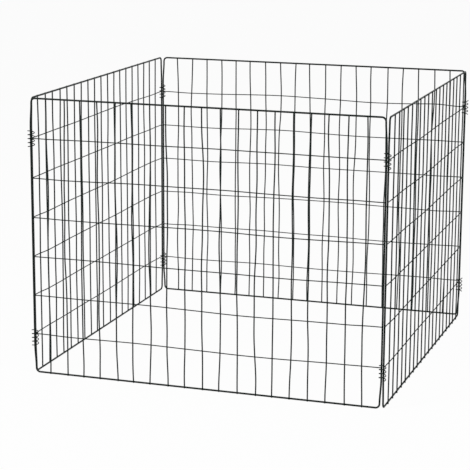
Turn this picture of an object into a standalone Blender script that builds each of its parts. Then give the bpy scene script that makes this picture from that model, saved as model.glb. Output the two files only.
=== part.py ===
"""Wire compost bin: four welded wire panels, hinged at the corners by wire coils.

Metres, +Z up. The bin stands on z = 0, centred on the Z axis, and its front
panel faces -Y. Each panel is drawn once in its own frame and placed four times:
its origin is on the hinge axis where it starts, +X runs along it to the next
corner, and -Y points out of the bin. The hinge axis is the middle of the last
edge rod of the panel before it, and its own first edge rod stands outside that.
"""

import math

import bmesh
import bpy
from mathutils import Matrix, Vector

# Panel, measured over its frame rod
PANEL_WIDTH = 0.900
PANEL_HEIGHT = 0.700
FRAME_ROD = 0.0045
CORNER_BEND = 0.010

# Welded mesh
UPRIGHT_WIRE = 0.0032
CROSS_WIRE = 0.0024
UPRIGHTS = 19
CROSS_WIRES = 6
UPRIGHT_TRIM = 0.0005
WELD_BITE = 0.001
WIRE_GAP = 0.0003

# Corner hinge: one panel's first edge rod beside the other's last one, which turns in the coil
ROD_GAP = 0.0002
FOLD_SWING = 85.0

# Coil connector
COIL_WIRE = 0.002
COIL_TURNS = 4.0
COIL_TOP_AZIMUTH = 200.0
BORE_PLAY = 0.002
HANG_GAP = 0.00045
TURN_GAP = 0.0003

# Facets
WIRE_SIDES = 8
COIL_SIDES = 6
STEPS_PER_TURN = 16
STEPS_PER_BEND = 4
SHARP_EDGE = 65.0

# The two edge rods of a corner, centre to centre, with the corners of their facets clear
ROD_REACH = FRAME_ROD / 2 / math.cos(math.pi / WIRE_SIDES)
RODS_APART = 2 * ROD_REACH + ROD_GAP

# Places in a panel's own frame
EDGE_SPAN = PANEL_WIDTH - FRAME_ROD
RAIL_LOW = FRAME_ROD / 2
RAIL_HIGH = PANEL_HEIGHT - FRAME_ROD / 2
ROD_Y = -RODS_APART
UPRIGHT_Y = ROD_Y + WELD_BITE - (FRAME_ROD + UPRIGHT_WIRE) / 2
CROSS_WIRE_Y = UPRIGHT_Y + (UPRIGHT_WIRE + CROSS_WIRE) / 2 + WIRE_GAP
COIL_Y = ROD_Y / 2

# The coil stays with the panel that starts at its corner. Its bore clears both rods.
COIL_RADIUS = RODS_APART / 2 + ROD_REACH + BORE_PLAY + COIL_WIRE / 2

# The coil hangs by one turn on that panel's cross wire, and the other panel's cross wire
# passes under the same turn. It comes nearest to the turn below when the corner is folded
# nearly straight, because the two wires are then furthest apart round the coil.
SPREAD = math.radians(90 + FOLD_SWING)
OWN_AZIMUTH = math.asin((CROSS_WIRE_Y - COIL_Y) / COIL_RADIUS)
FAR_SIDE = CROSS_WIRE_Y - ROD_Y - RODS_APART / 2 * math.cos(SPREAD)
FAR_AZIMUTH = SPREAD - math.asin(FAR_SIDE / COIL_RADIUS)
HANG_HEIGHT = (COIL_WIRE + CROSS_WIRE) / 2 + HANG_GAP
FREE_RISE = COIL_WIRE + CROSS_WIRE + HANG_GAP + TURN_GAP
COIL_PITCH = FREE_RISE / (1 - (FAR_AZIMUTH - OWN_AZIMUTH) / math.tau)

# Each panel, the corner it starts from, and its turn about the bin's middle
PANELS = (
    ("front", "front_left", 0),
    ("right", "front_right", 90),
    ("back", "back_right", 180),
    ("left", "back_left", 270),
)


def clear_scene():
    for item in list(bpy.data.objects):
        bpy.data.objects.remove(item, do_unlink=True)


def coated_steel(name, colour, roughness):
    material = bpy.data.materials.new(name)
    material.use_nodes = True
    shader = material.node_tree.nodes["Principled BSDF"]
    shader.inputs["Base Color"].default_value = (*colour, 1.0)
    shader.inputs["Roughness"].default_value = roughness
    shader.inputs["Metallic"].default_value = 0.0
    return material


def section(diameter, sides):
    """Corners of a round wire's section, with its flats at the wire's own radius."""
    reach = diameter / 2 / math.cos(math.pi / sides)
    angles = [math.tau * (step + 0.5) / sides for step in range(sides)]
    return [(reach * math.cos(angle), reach * math.sin(angle)) for angle in angles]


def finish_mesh(bm, name):
    bmesh.ops.recalc_face_normals(bm, faces=bm.faces)
    mesh = bpy.data.meshes.new(name)
    bm.to_mesh(mesh)
    bm.free()
    mesh.shade_smooth()
    mesh.set_sharp_from_angle(angle=math.radians(SHARP_EDGE))
    return mesh


def add_wire(bm, diameter, start, end):
    """A straight length of wire with square ends and one flat facing -Y."""
    start = Vector(start)
    run = Vector(end) - start
    side = Vector((0, 1, 0))
    across = run.normalized().cross(side)
    ring = [bm.verts.new(start + side * u + across * v) for u, v in section(diameter, WIRE_SIDES)]
    pushed = bmesh.ops.extrude_face_region(bm, geom=[bm.faces.new(ring)])
    far_verts = [item for item in pushed["geom"] if isinstance(item, bmesh.types.BMVert)]
    bmesh.ops.translate(bm, verts=far_verts, vec=run)


def frame_route():
    """Centre line of the frame rod as (point, outward direction), round its four bends."""
    left = CORNER_BEND
    right = EDGE_SPAN - CORNER_BEND
    low = RAIL_LOW + CORNER_BEND
    high = RAIL_HIGH - CORNER_BEND
    route = []
    for x, z, first_angle in ((right, low, -90), (right, high, 0), (left, high, 90), (left, low, 180)):
        for step in range(STEPS_PER_BEND + 1):
            angle = math.radians(first_angle + 90 * step / STEPS_PER_BEND)
            outward = Vector((math.cos(angle), 0, math.sin(angle)))
            route.append((Vector((x, ROD_Y, z)) + outward * CORNER_BEND, outward))
    return route


def rod_loop_mesh():
    """The frame rod: a ring of corners at each point of its route, bridged to the next."""
    bm = bmesh.new()
    side = Vector((0, 1, 0))
    rings = []
    for point, outward in frame_route():
        rings.append([bm.verts.new(point + outward * u + side * v)
                      for u, v in section(FRAME_ROD, WIRE_SIDES)])
    for here, following in zip(rings, rings[1:] + rings[:1]):
        for step in range(WIRE_SIDES):
            ahead = (step + 1) % WIRE_SIDES
            bm.faces.new((here[step], here[ahead], following[ahead], following[step]))
    return finish_mesh(bm, "frame_rod")


def uprights_mesh():
    """All the uprights of a panel, evenly spaced between its two edge rods."""
    bm = bmesh.new()
    bay = EDGE_SPAN / (UPRIGHTS + 1)
    for number in range(1, UPRIGHTS + 1):
        foot = (number * bay, UPRIGHT_Y, UPRIGHT_TRIM)
        head = (number * bay, UPRIGHT_Y, PANEL_HEIGHT - UPRIGHT_TRIM)
        add_wire(bm, UPRIGHT_WIRE, foot, head)
    return finish_mesh(bm, "uprights")


def panel_frame_mesh():
    """The frame rod with its uprights welded on: one solid."""
    rod = bpy.data.objects.new("rod_blank", rod_loop_mesh())
    uprights = bpy.data.objects.new("uprights_blank", uprights_mesh())
    for blank in (rod, uprights):
        bpy.context.scene.collection.objects.link(blank)
    weld = rod.modifiers.new("weld", "BOOLEAN")
    weld.operation = "UNION"
    weld.solver = "EXACT"
    weld.object = uprights
    bpy.context.view_layer.update()
    welded = rod.evaluated_get(bpy.context.evaluated_depsgraph_get())
    mesh = bpy.data.meshes.new_from_object(welded)
    mesh.name = "panel_frame"
    for blank in (rod, uprights):
        bpy.data.objects.remove(blank, do_unlink=True)
    return mesh


def cross_wire_mesh():
    """A cross wire at z = 0, butted between the two edge rods behind the uprights."""
    bm = bmesh.new()
    inset = FRAME_ROD / 2 + WIRE_GAP
    add_wire(bm, CROSS_WIRE, (inset, CROSS_WIRE_Y, 0), (EDGE_SPAN - inset, CROSS_WIRE_Y, 0))
    return finish_mesh(bm, "cross_wire")


def turn_height(azimuth):
    """Height of the turn above the two panels' cross wires, which are at z = 0."""
    return HANG_HEIGHT + COIL_PITCH * (azimuth - OWN_AZIMUTH) / math.tau


def coil_mesh():
    """A right-hand coil round the two edge rods, spun from its wire's section."""
    bm = bmesh.new()
    low_azimuth = math.radians(COIL_TOP_AZIMUTH) - math.tau * COIL_TURNS
    start = Vector((COIL_RADIUS, 0, turn_height(low_azimuth)))
    ring = [bm.verts.new(start + Vector((v, 0, u))) for u, v in section(COIL_WIRE, COIL_SIDES)]
    end = bm.faces.new(ring)
    bmesh.ops.spin(bm, geom=[end, *end.edges, *end.verts], cent=(0, 0, 0), axis=(0, 0, 1),
                   dvec=(0, 0, COIL_PITCH / STEPS_PER_TURN), angle=math.tau * COIL_TURNS,
                   steps=round(STEPS_PER_TURN * COIL_TURNS), use_merge=False, use_duplicate=False)
    turned = Matrix.Rotation(low_azimuth, 3, "Z")
    bmesh.ops.rotate(bm, verts=bm.verts, cent=(0, 0, 0), matrix=turned)
    bmesh.ops.translate(bm, verts=bm.verts, vec=(0, COIL_Y, 0))
    return finish_mesh(bm, "coil")


def place(name, mesh, height, turn):
    """Places a piece on the front panel's hinge axis, turned about the bin's middle."""
    hinge = Vector((-(EDGE_SPAN + RODS_APART) / 2, -(EDGE_SPAN - RODS_APART) / 2, height))
    item = bpy.data.objects.new(name, mesh)
    bpy.context.scene.collection.objects.link(item)
    item.location = Matrix.Rotation(math.radians(turn), 3, "Z") @ hinge
    item.rotation_euler = (0, 0, math.radians(turn))


def cross_wire_height(number):
    """Cross wires are numbered from 1, the lowest, and share the height evenly."""
    return RAIL_LOW + number * (RAIL_HIGH - RAIL_LOW) / (CROSS_WIRES + 1)


def build_panels():
    frame_mesh = panel_frame_mesh()
    frame_mesh.materials.append(coated_steel("rod_coating", (0.014, 0.024, 0.019), 0.42))
    wire_mesh = cross_wire_mesh()
    wire_mesh.materials.append(coated_steel("wire_coating", (0.020, 0.032, 0.026), 0.45))
    for panel, _, turn in PANELS:
        place(f"{panel}_frame", frame_mesh, 0, turn)
        for number in range(1, CROSS_WIRES + 1):
            place(f"{panel}_cross_wire_{number}", wire_mesh, cross_wire_height(number), turn)


def build_coils():
    """The cross wires pass under the first turn of a lower coil, the second of an upper one."""
    mesh = coil_mesh()
    mesh.materials.append(coated_steel("coil_coating", (0.016, 0.027, 0.021), 0.38))
    lower = cross_wire_height(1)
    upper = cross_wire_height(CROSS_WIRES) + COIL_PITCH
    for _, corner, turn in PANELS:
        place(f"{corner}_coil_lower", mesh, lower, turn)
        place(f"{corner}_coil_upper", mesh, upper, turn)


clear_scene()
build_panels()
build_coils()
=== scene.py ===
"""Wire compost bin: four welded mesh panels that coils hinge to each other at the corners."""

import math

import bpy
from mathutils import Matrix, Vector


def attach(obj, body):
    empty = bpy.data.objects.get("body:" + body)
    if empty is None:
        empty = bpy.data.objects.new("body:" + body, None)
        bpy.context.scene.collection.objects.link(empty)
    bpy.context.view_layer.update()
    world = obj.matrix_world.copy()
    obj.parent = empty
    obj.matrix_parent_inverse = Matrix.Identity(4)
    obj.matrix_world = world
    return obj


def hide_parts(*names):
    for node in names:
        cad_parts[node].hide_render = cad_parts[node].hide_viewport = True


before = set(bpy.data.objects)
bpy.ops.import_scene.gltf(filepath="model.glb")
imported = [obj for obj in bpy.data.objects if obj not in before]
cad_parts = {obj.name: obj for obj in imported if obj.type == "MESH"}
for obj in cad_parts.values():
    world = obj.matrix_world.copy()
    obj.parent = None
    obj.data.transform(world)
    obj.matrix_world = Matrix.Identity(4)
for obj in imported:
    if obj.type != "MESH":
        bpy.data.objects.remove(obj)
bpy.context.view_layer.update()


# Frame rods
# The edge of each panel is one steel rod, bent at its four corners and butt welded
# into a loop. The whole panel is powder-coated black-green after the mesh is welded on.
PANEL_WIDTH = 0.900
PANEL_HEIGHT = 0.700
ROD = 0.0045
ROD_BEND = 0.010
EDGE_SPAN = PANEL_WIDTH - ROD
LOW_RAIL = ROD / 2
HIGH_RAIL = PANEL_HEIGHT - ROD / 2

# Near the rails the edge rods spring away from their neighbours, towards their own panel,
# because only the coils draw them together. The spring is full up to the first of these
# heights from a rail, and gone from the second on.
SPRING = 0.003
SPRING_RUN = (0.012, 0.072)

# At a corner the first edge rod of one panel stands just outside the last one of another,
# which is the hinge axis. The gap is between the corners of the eight-sided solid rods.
SOLID_SIDES = 8
ROD_GAP = 0.0002
ROD_REACH = ROD / 2 / math.cos(math.pi / SOLID_SIDES)
RODS_APART = 2 * ROD_REACH + ROD_GAP
ROD_Y = -RODS_APART

# How finely the rod is drawn
BEND_STEPS = 10
STRAIGHT_CUTS = 60
ROD_SIDES = 16
HALF_A_STEP = 0.5

# An edge that turns by more than this stays crisp, as round the cut end of a wire.
CRISP_EDGE = math.radians(50)

# Each panel's turn about the middle of the bin, in degrees. A panel is drawn with the
# hinge axis where it starts at the origin, along +X, its outside to -Y.
PANELS = {"front": 0, "right": 90, "back": 180, "left": 270}


def start_tree(name, sizes):
    """A Geometry Nodes tree with an input for each size, and those inputs by name."""
    kinds = {
        float: "NodeSocketFloat",
        int: "NodeSocketInt",
        bpy.types.Material: "NodeSocketMaterial",
    }
    tree = bpy.data.node_groups.new(name, "GeometryNodeTree")
    tree.interface.new_socket("Geometry", in_out="OUTPUT", socket_type="NodeSocketGeometry")
    for label, value in sizes.items():
        socket = tree.interface.new_socket(label, in_out="INPUT", socket_type=kinds[type(value)])
        socket.default_value = value
    return tree, tree.nodes.new("NodeGroupInput").outputs


def add(tree, kind, inputs=(), **settings):
    """A new node. Each input is a plain value, or comes from a node or one of its outputs."""
    made = tree.nodes.new(kind)
    for setting, value in settings.items():
        setattr(made, setting, value)
    for socket, value in dict(inputs).items():
        if isinstance(value, bpy.types.Node):
            value = value.outputs[0]
        if isinstance(value, bpy.types.NodeSocket):
            tree.links.new(value, made.inputs[socket])
        else:
            made.inputs[socket].default_value = value
    return made


def reckon(tree, operation, *values):
    made = add(tree, "ShaderNodeMath", dict(enumerate(values)), operation=operation)
    return made.outputs[0]


def half_of(tree, value):
    return reckon(tree, "DIVIDE", value, 2.0)


def remap(tree, value, low, high, to_low=0.0, to_high=1.0, ramp="LINEAR"):
    """Carries low to high over to to_low to to_high, and stops at both ends."""
    ends = {"Value": value, "From Min": low, "From Max": high, "To Min": to_low, "To Max": to_high}
    return add(tree, "ShaderNodeMapRange", ends, clamp=True, interpolation_type=ramp).outputs[0]


def point_at(tree, x=0.0, y=0.0, z=0.0):
    return add(tree, "ShaderNodeCombineXYZ", {"X": x, "Y": y, "Z": z}).outputs[0]


def here(tree):
    """Each point's own place, as X, Y and Z."""
    position = add(tree, "GeometryNodeInputPosition")
    return add(tree, "ShaderNodeSeparateXYZ", {0: position}).outputs


def shifted(tree, geometry, offset):
    return add(tree, "GeometryNodeSetPosition", {"Geometry": geometry, "Offset": offset})


def wire_along(tree, path, diameter, sides):
    """A round wire along the path, closed where it is cut off."""
    ring = {"Resolution": sides, "Radius": half_of(tree, diameter)}
    section = add(tree, "GeometryNodeCurvePrimitiveCircle", ring)
    skin = {"Curve": path, "Profile Curve": section, "Fill Caps": True}
    return add(tree, "GeometryNodeCurveToMesh", skin)


def end_tree(tree, geometry, material):
    real = add(tree, "GeometryNodeRealizeInstances", {0: geometry})
    coated = add(tree, "GeometryNodeSetMaterial", {0: real, "Material": material})
    tree.links.new(coated.outputs[0], tree.nodes.new("NodeGroupOutput").inputs[0])


def grow(name, tree, sizes):
    """The tree's result as a plain mesh on an object of its own."""
    piece = bpy.data.objects.new(name, bpy.data.meshes.new(name))
    bpy.context.scene.collection.objects.link(piece)
    growth = piece.modifiers.new("growth", "NODES")
    growth.node_group = tree
    for socket in tree.interface.items_tree:
        if socket.in_out == "INPUT" and socket.name in sizes:
            growth[socket.identifier] = sizes[socket.name]
    bpy.context.view_layer.update()
    grown = piece.evaluated_get(bpy.context.evaluated_depsgraph_get())
    mesh = bpy.data.meshes.new_from_object(grown)
    piece.modifiers.clear()
    piece.data = mesh
    mesh.name = name
    mesh.shade_smooth()
    mesh.set_sharp_from_angle(angle=CRISP_EDGE)
    return piece


def stand_in_bin(piece, panel, height=0.0):
    """Moves the mesh from the panel's own frame to the panel's place in the bin."""
    turned = Matrix.Rotation(math.radians(PANELS[panel]), 4, "Z")
    hinge = (-(EDGE_SPAN + RODS_APART) / 2, -(EDGE_SPAN - RODS_APART) / 2, height)
    piece.data.transform(turned @ Matrix.Translation(hinge))


# The powder coat is nearly black. Where its film is thin it is a little lighter. Dust lies
# on what faces up, and steel shows in streaks where a piece has an attribute named rub.
# The roughness varies a little to both sides, and the whole film has a fine ripple.
COAT_SPECULAR = 0.10
THIN_FILM_GAIN = 1.6
THIN_FILM_LIFT = 0.001
DUST = (0.09, 0.085, 0.07)
MOST_DUST = 0.16
DUSTY_SLOPE = (0.2, 1.0)
BARE_STEEL = (0.30, 0.31, 0.31)
BARE_METALLIC = 0.8
SMOOTHER = 0.05
ROUGHER = 0.07
RIPPLE_DEPTH = 0.0002


def coat_noise(tree, place, per_metre, detail):
    grain = {"Vector": place, "Scale": per_metre, "Detail": detail}
    return add(tree, "ShaderNodeTexNoise", grain).outputs["Fac"]


def patches(tree, noise, none_below, full_above, least=0.0, most=1.0):
    """Patches in the coat, where the noise is high, with soft edges between two levels."""
    return remap(tree, noise, none_below, full_above, least, most)


def blend_colours(tree, share, first, second):
    """Mixes two colours. The node's colour sockets go by number: 6 and 7 in, 2 out."""
    made = add(tree, "ShaderNodeMix", {0: share}, data_type="RGBA")
    for socket, value in ((6, first), (7, second)):
        if isinstance(value, bpy.types.NodeSocket):
            tree.links.new(value, made.inputs[socket])
        else:
            made.inputs[socket].default_value = (*value, 1.0)
    return made.outputs[2]


def powder_coat(name, colour, roughness, ripple):
    """Powder coat on steel: cloudy film, dust on top, bare metal where it rubs, fine ripple."""
    material = bpy.data.materials.new(name)
    material.use_nodes = True
    tree = material.node_tree
    shader = tree.nodes["Principled BSDF"]
    shader.inputs["Specular IOR Level"].default_value = COAT_SPECULAR
    place = add(tree, "ShaderNodeTexCoord").outputs["Object"]
    facing = add(tree, "ShaderNodeNewGeometry").outputs["Normal"]

    cloudy = coat_noise(tree, place, per_metre=22.0, detail=3.0)
    clouds = patches(tree, cloudy, none_below=0.3, full_above=0.7)
    thin_film = [channel * THIN_FILM_GAIN + THIN_FILM_LIFT for channel in colour]
    paint = blend_colours(tree, clouds, colour, thin_film)

    upward = add(tree, "ShaderNodeSeparateXYZ", {0: facing}).outputs["Z"]
    settled = remap(tree, upward, *DUSTY_SLOPE, 0.0, MOST_DUST)
    gritty = coat_noise(tree, place, per_metre=160.0, detail=5.0)
    grit = patches(tree, gritty, none_below=0.45, full_above=0.75)
    dust = reckon(tree, "MULTIPLY", settled, grit)
    paint = blend_colours(tree, dust, paint, DUST)

    rub = add(tree, "ShaderNodeAttribute", attribute_name="rub").outputs["Fac"]
    streaky = coat_noise(tree, place, per_metre=900.0, detail=3.0)
    streaks = patches(tree, streaky, none_below=0.38, full_above=0.6)
    bare = reckon(tree, "MULTIPLY", rub, streaks)
    paint = blend_colours(tree, bare, paint, BARE_STEEL)
    tree.links.new(paint, shader.inputs["Base Color"])

    spotty = coat_noise(tree, place, per_metre=300.0, detail=4.0)
    satin = patches(tree, spotty, none_below=0.3, full_above=0.7,
                    least=roughness - SMOOTHER, most=roughness + ROUGHER)
    tree.links.new(reckon(tree, "ADD", satin, dust), shader.inputs["Roughness"])
    tree.links.new(reckon(tree, "MULTIPLY", bare, BARE_METALLIC), shader.inputs["Metallic"])

    rippled = coat_noise(tree, place, per_metre=1100.0, detail=2.0)
    relief = {"Height": rippled, "Strength": ripple, "Distance": RIPPLE_DEPTH}
    tree.links.new(add(tree, "ShaderNodeBump", relief).outputs[0], shader.inputs["Normal"])
    return material


rod_coat = powder_coat("rod_coat", (0.0018, 0.0050, 0.0038), roughness=0.36, ripple=0.40)

loop_tree, size = start_tree("rod_loop", {
    "Panel width": PANEL_WIDTH,
    "Panel height": PANEL_HEIGHT,
    "Rod diameter": ROD,
    "Bend radius": ROD_BEND,
    "Place across": ROD_Y,
    "Spring": SPRING,
    "Coating": rod_coat,
})
centre_width = reckon(loop_tree, "SUBTRACT", size["Panel width"], size["Rod diameter"])
centre_height = reckon(loop_tree, "SUBTRACT", size["Panel height"], size["Rod diameter"])
middle_x = half_of(loop_tree, centre_width)
middle_z = half_of(loop_tree, size["Panel height"])
rectangle = add(loop_tree, "GeometryNodeCurvePrimitiveQuadrilateral", {
    "Width": centre_width,
    "Height": centre_height,
})
bent_loop = add(loop_tree, "GeometryNodeFilletCurve", {
    "Curve": rectangle,
    "Count": BEND_STEPS,
    "Radius": size["Bend radius"],
}, mode="POLY")

# A straight stretch follows the last point of each bend, and only that one is cut finely.
order = add(loop_tree, "GeometryNodeInputIndex")
step_of_bend = reckon(loop_tree, "MODULO", order, BEND_STEPS + 1)
last_of_bend = reckon(loop_tree, "COMPARE", step_of_bend, BEND_STEPS, HALF_A_STEP)
fine_loop = add(loop_tree, "GeometryNodeSubdivideCurve", {
    "Curve": bent_loop,
    "Cuts": reckon(loop_tree, "MULTIPLY", last_of_bend, STRAIGHT_CUTS),
})
standing_loop = add(loop_tree, "GeometryNodeTransform", {
    "Geometry": fine_loop,
    "Translation": point_at(loop_tree, middle_x, size["Place across"], middle_z),
    "Rotation": (math.radians(90), 0, 0),
})
rod_point = here(loop_tree)
from_top = reckon(loop_tree, "SUBTRACT", size["Panel height"], rod_point["Z"])
from_rail = reckon(loop_tree, "MINIMUM", rod_point["Z"], from_top)
spring = remap(loop_tree, from_rail, *SPRING_RUN, size["Spring"], 0.0, ramp="SMOOTHSTEP")
inward = reckon(loop_tree, "SIGN", reckon(loop_tree, "SUBTRACT", middle_x, rod_point["X"]))
sprung = point_at(loop_tree, reckon(loop_tree, "MULTIPLY", inward, spring))
rod_line = shifted(loop_tree, standing_loop, sprung)
rod_skin = wire_along(loop_tree, rod_line, size["Rod diameter"], ROD_SIDES)
end_tree(loop_tree, rod_skin, size["Coating"])

for panel in PANELS:
    rod = grow(f"{panel}_rod", loop_tree, {"Coating": rod_coat})
    stand_in_bin(rod, panel)
    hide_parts(f"{panel}_frame")
    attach(rod, f"{panel}_panel")


# Uprights
# Nineteen thin steel wires stand in each panel, cut to length and spot-welded to the
# outside of its two rails. They are drawn wire, so they lean and bow a little between welds.
UPRIGHT_WIRE = 0.0032
UPRIGHTS = 19
BAY = EDGE_SPAN / (UPRIGHTS + 1)
WELD_BITE = 0.001
UPRIGHT_Y = ROD_Y + WELD_BITE - (ROD + UPRIGHT_WIRE) / 2
UPRIGHT_TRIM = 0.0005

# The coat's own build-up on a thin wire. Places are worked out from the bare wires.
COAT = 0.0002

# How far the uprights lean, how quickly that changes from wire to wire and with height,
# and the seed of each panel's lean.
LEAN = 0.0040
UPRIGHT_STRETCH = (61.0, 0.0, 4.4)
LEAN_SEED = {"front": 3.7, "right": 7.4, "back": 11.1, "left": 14.8}

# The noise behind the lean has this middle, and keeps to about a quarter on either side.
NOISE_MIDDLE = 0.5
NOISE_GAIN = 4.0

# How finely a thin wire is drawn
WIRE_SIDES = 12
UPRIGHT_POINTS = 120

wire_coat = powder_coat("wire_coat", (0.0018, 0.0056, 0.0042), roughness=0.38, ripple=0.40)


def row_of_wires(tree, count, first, step, run, points):
    """The centre lines of straight wires side by side, each with enough points to bow."""
    starts = {"Count": count, "Start Location": first, "Offset": step}
    line = add(tree, "GeometryNodeCurvePrimitiveLine", {"End": run})
    placed = add(tree, "GeometryNodeInstanceOnPoints", {
        "Points": add(tree, "GeometryNodeMeshLine", starts),
        "Instance": add(tree, "GeometryNodeResampleCurve", {"Curve": line, "Count": points}),
    })
    return add(tree, "GeometryNodeRealizeInstances", {0: placed})


def wandering(tree, stretch, seed, amount):
    """A slow shift to either side, which the wires and their welds read in the same way."""
    position = add(tree, "GeometryNodeInputPosition")
    slow_place = add(tree, "ShaderNodeVectorMath", {0: position, 1: stretch}, operation="MULTIPLY")
    grain = {"Vector": slow_place, "W": seed, "Scale": 1.0, "Detail": 1.0}
    noise = add(tree, "ShaderNodeTexNoise", grain, noise_dimensions="4D")
    to_either_side = reckon(tree, "SUBTRACT", noise, NOISE_MIDDLE)
    return reckon(tree, "MULTIPLY", to_either_side, reckon(tree, "MULTIPLY", amount, NOISE_GAIN))


upright_tree, size = start_tree("uprights", {
    "Count": UPRIGHTS,
    "Bay": BAY,
    "Place across": UPRIGHT_Y,
    "Length": PANEL_HEIGHT - 2 * UPRIGHT_TRIM,
    "Trim": UPRIGHT_TRIM,
    "Wire diameter": UPRIGHT_WIRE + COAT,
    "Lean": LEAN,
    "Seed": LEAN_SEED["front"],
    "Coating": wire_coat,
})
stems = row_of_wires(
    upright_tree,
    count=size["Count"],
    first=point_at(upright_tree, size["Bay"], size["Place across"], size["Trim"]),
    step=point_at(upright_tree, size["Bay"]),
    run=point_at(upright_tree, z=size["Length"]),
    points=UPRIGHT_POINTS,
)
lean = wandering(upright_tree, UPRIGHT_STRETCH, size["Seed"], size["Lean"])
stems = shifted(upright_tree, stems, point_at(upright_tree, lean))
stem_skin = wire_along(upright_tree, stems, size["Wire diameter"], WIRE_SIDES)
end_tree(upright_tree, stem_skin, size["Coating"])

for panel in PANELS:
    uprights = grow(f"{panel}_uprights", upright_tree,
                    {"Seed": LEAN_SEED[panel], "Coating": wire_coat})
    stand_in_bin(uprights, panel)
    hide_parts(f"{panel}_frame")
    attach(uprights, f"{panel}_panel")


# Cross wires
# Six thin steel wires lie level across each panel, behind the uprights, and are butted
# between the two side rods. They carry the spot welds that keep the bays even.
CROSS_WIRE = 0.0024
CROSS_WIRES = 6
ROW = (HIGH_RAIL - LOW_RAIL) / (CROSS_WIRES + 1)
WIRE_GAP = 0.0003
CROSS_WIRE_Y = UPRIGHT_Y + (UPRIGHT_WIRE + CROSS_WIRE) / 2 + WIRE_GAP
BUTT_BITE = 0.0003
BUTT_END = ROD / 2 - BUTT_BITE
CROSS_WIRE_POINTS = 161

# How far each panel's cross wires wave up and down, the seed of that wave, and how quickly
# it changes along a wire and from one wire to the next.
SAG = {"front": 0.0036, "right": 0.0030, "back": 0.0054, "left": 0.0034}
WAVE_SEED = {"front": 29.1, "right": 6.3, "back": 24.3, "left": 17.4}
CROSS_STRETCH = (2.4, 0.0, 3.0)

# The wave starts this far from the ends of a wire, and is full from the second length on,
# because the coils need room there.
STEADY_ENDS = (0.015, 0.090)


def waving(tree, seed, amount, span):
    """A cross wire's shift up or down, which its welds read in the same way."""
    along = here(tree)["X"]
    from_end = reckon(tree, "MINIMUM", along, reckon(tree, "SUBTRACT", span, along))
    freedom = remap(tree, from_end, *STEADY_ENDS, ramp="SMOOTHSTEP")
    return reckon(tree, "MULTIPLY", wandering(tree, CROSS_STRETCH, seed, amount), freedom)


cross_tree, size = start_tree("cross_wires", {
    "Count": CROSS_WIRES,
    "Row": ROW,
    "Low rail": LOW_RAIL,
    "Butt end": BUTT_END,
    "Edge span": EDGE_SPAN,
    "Place across": CROSS_WIRE_Y,
    "Wire diameter": CROSS_WIRE + COAT,
    "Sag": SAG["front"],
    "Seed": WAVE_SEED["front"],
    "Coating": wire_coat,
})
first_row = reckon(cross_tree, "ADD", size["Low rail"], size["Row"])
both_ends = reckon(cross_tree, "MULTIPLY", size["Butt end"], 2.0)
cross_length = reckon(cross_tree, "SUBTRACT", size["Edge span"], both_ends)
runs = row_of_wires(
    cross_tree,
    count=size["Count"],
    first=point_at(cross_tree, size["Butt end"], size["Place across"], first_row),
    step=point_at(cross_tree, z=size["Row"]),
    run=point_at(cross_tree, cross_length),
    points=CROSS_WIRE_POINTS,
)
wave = waving(cross_tree, size["Seed"], size["Sag"], size["Edge span"])
runs = shifted(cross_tree, runs, point_at(cross_tree, z=wave))
run_skin = wire_along(cross_tree, runs, size["Wire diameter"], WIRE_SIDES)
end_tree(cross_tree, run_skin, size["Coating"])

for panel in PANELS:
    wires = grow(f"{panel}_cross_wires", cross_tree,
                 {"Sag": SAG[panel], "Seed": WAVE_SEED[panel], "Coating": wire_coat})
    stand_in_bin(wires, panel)
    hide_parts(*[f"{panel}_cross_wire_{row}" for row in range(1, CROSS_WIRES + 1)])
    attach(wires, f"{panel}_panel")


# Spot welds
# Wherever two wires meet, a spot weld has pressed them together, and the coating fills
# the corner round it. There is one at each crossing, at each rail and at each side rod.
RAIL_WELD_BITE = 0.0001

# Half the size of a drop of weld along, across and up the panel
CROSSING_DROP = (0.0016, 0.0009, 0.0015)
RAIL_DROP = (0.0019, 0.0008, 0.0014)
SIDE_DROP = (0.0010, 0.0015, 0.0019)

# How much the drops differ: the least and the most of that size, and a turn in radians
DROP_LEAST = 0.82
DROP_MOST = 1.12
DROP_TURN = 0.5

weld_tree, size = start_tree("spot_welds", {
    "Uprights": UPRIGHTS,
    "Cross wires": CROSS_WIRES,
    "Bay": BAY,
    "Row": ROW,
    "Low rail": LOW_RAIL,
    "Edge span": EDGE_SPAN,
    "Crossing across": (UPRIGHT_Y + CROSS_WIRE_Y) / 2,
    "Rail weld across": ROD_Y + RAIL_WELD_BITE - ROD / 2,
    "Side weld along": BUTT_END,
    "Cross wire across": CROSS_WIRE_Y,
    "Lean": LEAN,
    "Sag": SAG["front"],
    "Upright seed": LEAN_SEED["front"],
    "Cross wire seed": WAVE_SEED["front"],
    "Coating": wire_coat,
})


def weld_places(tree, columns, rows, start, step_x, step_z):
    """A point for each weld, in rows and columns, before the wires' own shift."""
    row = {"Count": columns, "Offset": point_at(tree, step_x)}
    column = {"Count": rows, "Start Location": start, "Offset": point_at(tree, z=step_z)}
    placed = add(tree, "GeometryNodeInstanceOnPoints", {
        "Points": add(tree, "GeometryNodeMeshLine", column),
        "Instance": add(tree, "GeometryNodeMeshLine", row),
    })
    return add(tree, "GeometryNodeRealizeInstances", {0: placed})


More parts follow.
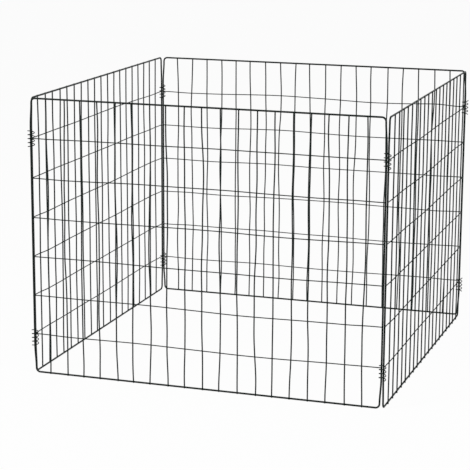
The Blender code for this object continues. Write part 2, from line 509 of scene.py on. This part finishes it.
def drops_of_weld(tree, points, half_sizes, seed):
    """A small lump at each point, no two quite alike."""
    drop = add(tree, "GeometryNodeMeshUVSphere", {"Radius": 1.0, "Segments": 8, "Rings": 6})
    growth = {2: DROP_LEAST, 3: DROP_MOST, "Seed": seed}
    vary = add(tree, "FunctionNodeRandomValue", growth, data_type="FLOAT").outputs[1]
    turns = {0: (0, -DROP_TURN, 0), 1: (0, DROP_TURN, 0), "Seed": seed + 1}
    return add(tree, "GeometryNodeInstanceOnPoints", {
        "Points": points,
        "Instance": drop,
        "Scale": add(tree, "ShaderNodeVectorMath", {0: half_sizes, 3: vary}, operation="SCALE"),
        "Rotation": add(tree, "FunctionNodeRandomValue", turns, data_type="FLOAT_VECTOR"),
    })


first_row = reckon(weld_tree, "ADD", size["Low rail"], size["Row"])
lean = wandering(weld_tree, UPRIGHT_STRETCH, size["Upright seed"], size["Lean"])
wave = waving(weld_tree, size["Cross wire seed"], size["Sag"], size["Edge span"])

crossing_start = point_at(weld_tree, size["Bay"], size["Crossing across"], first_row)
crossings = weld_places(weld_tree, size["Uprights"], size["Cross wires"], crossing_start,
                        size["Bay"], size["Row"])
crossings = shifted(weld_tree, crossings, point_at(weld_tree, lean, 0.0, wave))

rail_start = point_at(weld_tree, size["Bay"], size["Rail weld across"], size["Low rail"])
rows_between_rails = reckon(weld_tree, "ADD", size["Cross wires"], 1.0)
rail_to_rail = reckon(weld_tree, "MULTIPLY", size["Row"], rows_between_rails)
on_rails = weld_places(weld_tree, size["Uprights"], 2, rail_start, size["Bay"], rail_to_rail)
on_rails = shifted(weld_tree, on_rails, point_at(weld_tree, lean))

side_start = point_at(weld_tree, size["Side weld along"], size["Cross wire across"], first_row)
both_sides = reckon(weld_tree, "MULTIPLY", size["Side weld along"], 2.0)
side_to_side = reckon(weld_tree, "SUBTRACT", size["Edge span"], both_sides)
on_sides = weld_places(weld_tree, 2, size["Cross wires"], side_start, side_to_side, size["Row"])

welds = add(weld_tree, "GeometryNodeJoinGeometry")
for points, half_sizes, seed in (
    (crossings, CROSSING_DROP, 11),
    (on_rails, RAIL_DROP, 23),
    (on_sides, SIDE_DROP, 37),
):
    drops = drops_of_weld(weld_tree, points, half_sizes, seed)
    weld_tree.links.new(drops.outputs[0], welds.inputs[0])
end_tree(weld_tree, welds, size["Coating"])

for panel in PANELS:
    panel_welds = grow(f"{panel}_welds", weld_tree, {
        "Upright seed": LEAN_SEED[panel],
        "Cross wire seed": WAVE_SEED[panel],
        "Sag": SAG[panel],
        "Coating": wire_coat,
    })
    stand_in_bin(panel_welds, panel)
    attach(panel_welds, f"{panel}_panel")


# Corner coils
# A short spring of coated steel wire is screwed down over the two edge rods at each corner,
# above and below, with the cross wires between its turns. It is the hinge, and its ends
# are sheared off square.
COIL_WIRE = 0.002
COIL_COAT = 0.0003
COIL_TURNS = 4.0
COIL_TOP_AZIMUTH = math.radians(200)
BORE_PLAY = 0.002
COIL_RADIUS = RODS_APART / 2 + ROD_REACH + BORE_PLAY + COIL_WIRE / 2
COIL_Y = ROD_Y / 2

# One turn hangs on its own panel's cross wire; the next turn down only just clears the
# neighbour's cross wire when the corner is folded nearly straight.
FOLD_SWING = 85.0
HANG_GAP = 0.00045
TURN_GAP = 0.0003
SPREAD = math.radians(90 + FOLD_SWING)
FAR_SIDE = CROSS_WIRE_Y - ROD_Y + COIL_Y * math.cos(SPREAD)
FAR_AZIMUTH = SPREAD - math.asin(FAR_SIDE / COIL_RADIUS)
OWN_AZIMUTH = math.asin((CROSS_WIRE_Y - COIL_Y) / COIL_RADIUS)
FREE_RISE = COIL_WIRE + CROSS_WIRE + HANG_GAP + TURN_GAP
COIL_PITCH = FREE_RISE / (1 - (FAR_AZIMUTH - OWN_AZIMUTH) / math.tau)
HANG_HEIGHT = (COIL_WIRE + CROSS_WIRE) / 2 + HANG_GAP
TOP_END = HANG_HEIGHT + COIL_PITCH * (COIL_TOP_AZIMUTH - OWN_AZIMUTH) / math.tau

# How finely the coil is drawn, and the part of its wire's radius beyond which it is rubbed
STEPS_PER_TURN = 40
RUBBED_FROM = 0.80

# The coil wire has the same powder coat as the rods. Its colour here is a little lighter than
# theirs as painted highlight, and it is also glossier.
coil_coat_and_painted_highlight = powder_coat("coil_coat_and_painted_highlight", (0.0028, 0.0062, 0.0048), roughness=0.26, ripple=0.25)

coil_tree, size = start_tree("corner_coil", {
    "Turns": COIL_TURNS,
    "Pitch": COIL_PITCH,
    "Mean radius": COIL_RADIUS,
    "Wire diameter": COIL_WIRE + COIL_COAT,
    "Top azimuth": COIL_TOP_AZIMUTH,
    "Top end": TOP_END,
    "Place across": COIL_Y,
    "Coating": coil_coat_and_painted_highlight,
})
coil_height = reckon(coil_tree, "MULTIPLY", size["Turns"], size["Pitch"])
coil_turn = reckon(coil_tree, "MULTIPLY", size["Turns"], math.tau)
low_end = reckon(coil_tree, "SUBTRACT", size["Top end"], coil_height)
low_azimuth = reckon(coil_tree, "SUBTRACT", size["Top azimuth"], coil_turn)
spiral = add(coil_tree, "GeometryNodeCurveSpiral", {
    "Resolution": STEPS_PER_TURN,
    "Rotations": size["Turns"],
    "Start Radius": size["Mean radius"],
    "End Radius": size["Mean radius"],
    "Height": coil_height,
    "Reverse": True,
})
spiral = add(coil_tree, "GeometryNodeTransform", {
    "Geometry": spiral,
    "Translation": point_at(coil_tree, z=low_end),
    "Rotation": point_at(coil_tree, z=low_azimuth),
})
coil_skin = wire_along(coil_tree, spiral, size["Wire diameter"], WIRE_SIDES)

# The rods rub the coat off the innermost line of the wire.
coil_point = here(coil_tree)
squares = [reckon(coil_tree, "MULTIPLY", coil_point[axis], coil_point[axis]) for axis in "XY"]
from_axis = reckon(coil_tree, "SQRT", reckon(coil_tree, "ADD", *squares))
inward = reckon(coil_tree, "SUBTRACT", size["Mean radius"], from_axis)
inside = reckon(coil_tree, "DIVIDE", inward, half_of(coil_tree, size["Wire diameter"]))
rubbed = add(coil_tree, "GeometryNodeStoreNamedAttribute", {
    "Geometry": coil_skin,
    "Name": "rub",
    "Value": remap(coil_tree, inside, RUBBED_FROM, 1.0),
}, data_type="FLOAT", domain="POINT")
placed = add(coil_tree, "GeometryNodeTransform", {
    "Geometry": rubbed,
    "Translation": point_at(coil_tree, y=size["Place across"]),
})
end_tree(coil_tree, placed, size["Coating"])

# Each corner's coils stay with the panel that starts there. The cross wires pass under
# the first turn of a lower coil and the second turn of an upper one.
CORNERS = {
    "front_left": "front",
    "front_right": "right",
    "back_right": "back",
    "back_left": "left",
}
LEVELS = {"lower": LOW_RAIL + ROW, "upper": LOW_RAIL + CROSS_WIRES * ROW + COIL_PITCH}
for corner, panel in CORNERS.items():
    for level, height in LEVELS.items():
        coil = grow(f"{corner}_{level}_spring", coil_tree, {"Coating": coil_coat_and_painted_highlight})
        stand_in_bin(coil, panel, height)
        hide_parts(f"{corner}_coil_{level}")
        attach(coil, f"{panel}_panel")


# Floor
# A pale, matt studio floor, just under the bin. It is nearly white wherever it is seen,
# and keeps the bin's soft shadow.
FLOOR_WIDTH = 60
FLOOR_DROP = 0.0003
WHITE = (1.0, 1.0, 1.0, 1.0)
WHITE_SHARE = 0.955


def seen_plainly(tree):
    """One for what the camera sees, also in a gloss or through glass, and zero for light."""
    rays = add(tree, "ShaderNodeLightPath").outputs
    indirectly = reckon(tree, "MAXIMUM", rays["Is Glossy Ray"], rays["Is Transmission Ray"])
    return reckon(tree, "MAXIMUM", rays["Is Camera Ray"], indirectly)


bpy.ops.mesh.primitive_plane_add(size=FLOOR_WIDTH, location=(0, 0, -FLOOR_DROP))
floor = bpy.context.object
floor.name = "floor"
floor_paint = bpy.data.materials.new("floor_paint")
floor_paint.use_nodes = True
tree = floor_paint.node_tree
shader = tree.nodes["Principled BSDF"]
shader.inputs["Base Color"].default_value = (0.80, 0.80, 0.80, 1.0)
shader.inputs["Roughness"].default_value = 0.9
shader.inputs["Specular IOR Level"].default_value = 0.1
white = add(tree, "ShaderNodeEmission", {"Color": WHITE, "Strength": 1.0})
share = reckon(tree, "MULTIPLY", seen_plainly(tree), WHITE_SHARE)
mixed = add(tree, "ShaderNodeMixShader", {0: share, 1: shader, 2: white})
tree.links.new(mixed.outputs[0], tree.nodes["Material Output"].inputs["Surface"])
floor.data.materials.append(floor_paint)


# Light
# Two large round lamps stand in front of the bin, one on its left and one on its right.
# A pale surround fills in: white where it is seen, and weaker as a light.
LAMP_AIM = (0, 0, 0.3)
SURROUND_LIGHT = 0.24


def soft_lamp(name, place, width, power):
    lamp = bpy.data.objects.new(name, bpy.data.lights.new(name, "AREA"))
    lamp.data.shape = "DISK"
    lamp.data.size = width
    lamp.data.energy = power
    lamp.location = place
    lamp.rotation_euler = (Vector(LAMP_AIM) - Vector(place)).to_track_quat("-Z", "Y").to_euler()
    bpy.context.scene.collection.objects.link(lamp)


soft_lamp("key_lamp", place=(-2.4, -3.2, 3.4), width=1.6, power=150)
soft_lamp("fill_lamp", place=(3.4, -1.6, 2.4), width=2.2, power=80)

world = bpy.data.worlds.new("studio")
bpy.context.scene.world = world
world.use_nodes = True
tree = world.node_tree
surround = tree.nodes["Background"]
surround.inputs["Color"].default_value = WHITE
strength = remap(tree, seen_plainly(tree), 0.0, 1.0, SURROUND_LIGHT, 1.0)
tree.links.new(strength, surround.inputs["Strength"])


# Camera
# It stands in front of the bin, well back and to its right, and looks down on it. The
# focal length is in pixels of a picture of this width, and the angles are in degrees.
PICTURE_WIDTH = 470
FOCAL_LENGTH = 1735.4
SENSOR_WIDTH = 36.0
CAMERA_PLACE = (1.3583, -4.2830, 1.2978)
CAMERA_TURN = 18.452
CAMERA_DIP = 12.592
CAMERA_ROLL = 0.284

camera = bpy.data.objects.new("camera", bpy.data.cameras.new("camera"))
bpy.context.scene.collection.objects.link(camera)
camera.data.sensor_width = SENSOR_WIDTH
camera.data.lens = SENSOR_WIDTH * FOCAL_LENGTH / PICTURE_WIDTH
turned = Matrix.Rotation(math.radians(CAMERA_TURN), 4, "Z")
dipped = Matrix.Rotation(math.radians(90 - CAMERA_DIP), 4, "X")
rolled = Matrix.Rotation(math.radians(CAMERA_ROLL), 4, "Z")
camera.matrix_world = Matrix.Translation(CAMERA_PLACE) @ turned @ dipped @ rolled
bpy.context.scene.camera = camera
bpy.context.scene.view_settings.view_transform = "Standard"

bpy.context.view_layer.update()
